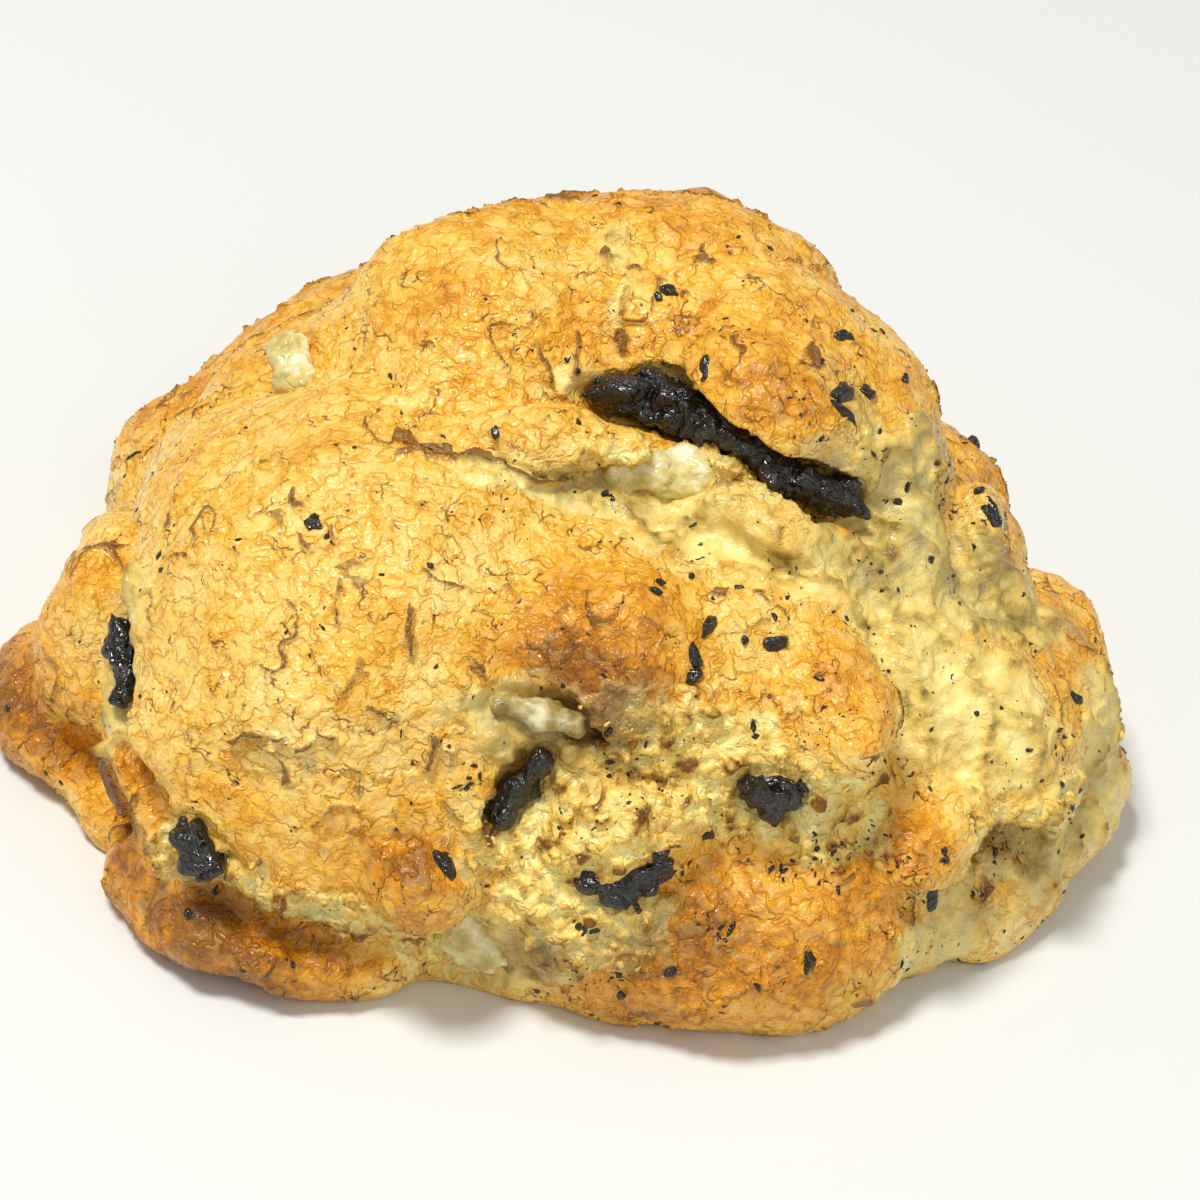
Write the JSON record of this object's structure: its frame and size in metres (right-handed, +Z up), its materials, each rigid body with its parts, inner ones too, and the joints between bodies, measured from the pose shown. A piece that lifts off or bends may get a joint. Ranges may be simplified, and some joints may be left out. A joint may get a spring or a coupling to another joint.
{
  "type": "cookies and cream cookie",
  "caption": "Thick domed baked cookie with a torn side, set with broken dark wafer pieces and cream pieces, resting on a flat base.",
  "frame": {"origin": "middle of the flat base's bounding box, on the surface that the cookie rests on", "axes": "+Z up, +X to the cookie's right and along its longest side, -Y to its torn front"},
  "size_m": [0.1105, 0.09, 0.0502],
  "materials": {
    "crust": "baked crust, golden, wrinkled and slightly oily, with pale crumb where it is torn",
    "wafer": "dark baked wafer, rough where broken, with a faint shine",
    "cream": "melted cream filling, smooth and slightly waxy"
  },
  "bodies": {
    "root": {"dough": "crust", "wafer_long": "wafer", "wafer_left": "wafer", "wafer_foot": "wafer", "wafer_gap": "wafer", "wafer_crescent": "wafer", "wafer_right": "wafer", "cream_left": "cream", "cream_shelf": "cream", "cream_fold": "cream", "cream_base": "cream"}
  },
  "joints": []
}
